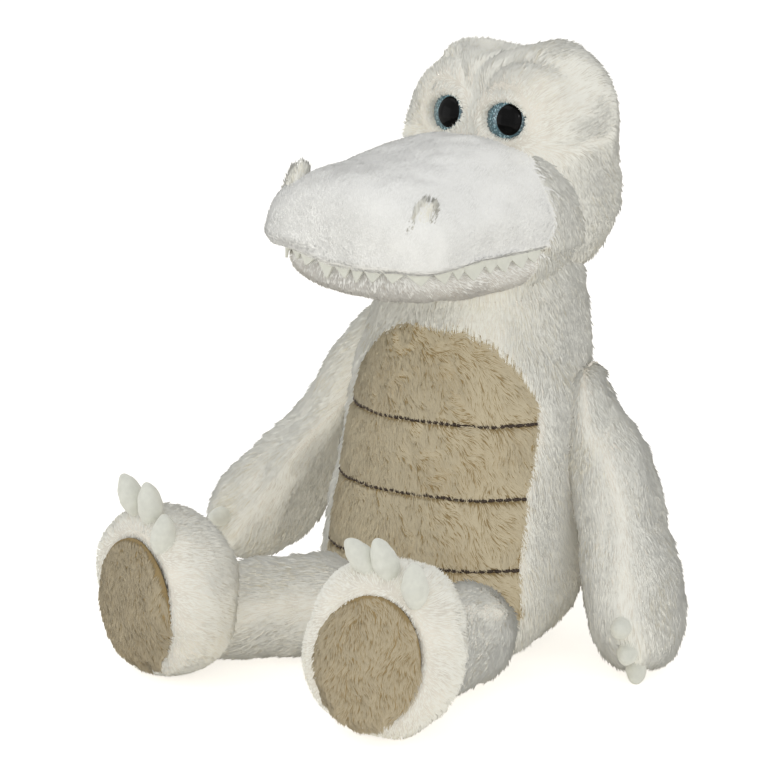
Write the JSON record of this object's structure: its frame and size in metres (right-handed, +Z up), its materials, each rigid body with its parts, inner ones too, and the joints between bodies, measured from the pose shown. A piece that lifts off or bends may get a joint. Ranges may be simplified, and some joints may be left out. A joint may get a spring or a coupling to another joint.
{
  "type": "plush crocodile",
  "caption": "Seated plush crocodile with a stuffed torso, a head with a long snout and felt teeth, and swinging arms, legs and tail.",
  "frame": {"origin": "on the floor under the middle of the seat, on the flat underside of torso_skin", "axes": "+Z up; -Y the way the crocodile's belly faces; +X its left side"},
  "size_m": [0.2863, 0.3488, 0.3168],
  "materials": {
    "beige_fur": "beige plush with a pile of about 6 mm",
    "black_pupil": "gloss black plastic",
    "blue_iris": "glitter blue plastic under a clear dome",
    "brown_thread": "dark brown sewing thread",
    "pellet_cloth": "plain woven cloth round plastic pellets",
    "polyester_filling": "loose white fibre",
    "washer_plastic": "white moulded plastic",
    "white_felt": "pressed white felt",
    "white_fur": "off-white plush with a pile of about 8 mm",
    "white_short_pile": "grey-white plush with a pile of about 3 mm"
  },
  "bodies": {
    "torso": {"belly_panel": "beige_fur", "belly_stitch_lower": "brown_thread", "belly_stitch_middle": "brown_thread", "belly_stitch_upper": "brown_thread", "seat_pellet_bag": "pellet_cloth", "torso_filling": "polyester_filling", "torso_skin": "white_fur"},
    "neck": {"neck_filling": "polyester_filling", "neck_skin": "white_fur"},
    "head": {"eye_left": "blue_iris", "eye_right": "blue_iris", "eye_washer_left": "washer_plastic", "eye_washer_right": "washer_plastic", "head_filling": "polyester_filling", "head_skin": "white_fur", "jaw_filling": "polyester_filling", "jaw_skin": "white_short_pile", "nostril_flap_left": "white_short_pile", "nostril_flap_right": "white_short_pile", "pupil_left": "black_pupil", "pupil_right": "black_pupil", "snout_filling": "polyester_filling", "snout_skin": "white_short_pile", "teeth_strip": "white_felt"},
    "arm_left": {"arm_left_filling": "polyester_filling", "arm_left_skin": "white_fur", "hand_claw_left_1": "white_felt", "hand_claw_left_2": "white_felt", "hand_claw_left_3": "white_felt"},
    "arm_right": {"arm_right_filling": "polyester_filling", "arm_right_skin": "white_fur", "hand_claw_right_1": "white_felt", "hand_claw_right_2": "white_felt", "hand_claw_right_3": "white_felt"},
    "leg_left": {"foot_left_filling": "polyester_filling", "foot_left_skin": "white_fur", "foot_left_sole": "beige_fur", "leg_left_filling": "polyester_filling", "leg_left_skin": "white_fur", "toe_claw_left_1": "white_felt", "toe_claw_left_2": "white_felt", "toe_claw_left_3": "white_felt"},
    "leg_right": {"foot_right_filling": "polyester_filling", "foot_right_skin": "white_fur", "foot_right_sole": "beige_fur", "leg_right_filling": "polyester_filling", "leg_right_skin": "white_fur", "toe_claw_right_1": "white_felt", "toe_claw_right_2": "white_felt", "toe_claw_right_3": "white_felt"},
    "tail": {"tail_filling": "polyester_filling", "tail_skin": "white_fur"}
  },
  "joints": [
    {"name": "head_turn", "type": "hinge", "parent": "torso", "child": "neck", "pos_m": [0, 0.04039, 0.19], "axis": [0, 0, 1], "range_deg": [-24, 46]},
    {"name": "head_nod", "type": "hinge", "parent": "neck", "child": "head", "pos_m": [0, 0.04039, 0.19], "axis": [0.9816, -0.1908, 0], "range_deg": [-14, 8]},
    {"name": "arm_swing_left", "type": "hinge", "parent": "torso", "child": "arm_left", "pos_m": [0.05795, 0.04763, 0.13], "axis": [0.9633, 0.1699, 0.2079], "range_deg": [-75, 15]},
    {"name": "arm_swing_right", "type": "hinge", "parent": "torso", "child": "arm_right", "pos_m": [-0.05595, 0.04996, 0.14097], "axis": [0.9131, -0.161, -0.3746], "range_deg": [-75, 15]},
    {"name": "leg_swing_left", "type": "hinge", "parent": "torso", "child": "leg_left", "pos_m": [0.043, -0.056, 0.0255], "axis": [0.9998, -0.0175, 0], "range_deg": [-30, 15]},
    {"name": "leg_swing_right", "type": "hinge", "parent": "torso", "child": "leg_right", "pos_m": [-0.043, -0.056, 0.0255], "axis": [0.6428, -0.766, 0], "range_deg": [-30, 15]},
    {"name": "tail_swing", "type": "hinge", "parent": "torso", "child": "tail", "pos_m": [0, 0.076, 0.0245], "axis": [0, 0, 1], "range_deg": [-30, 30]}
  ]
}
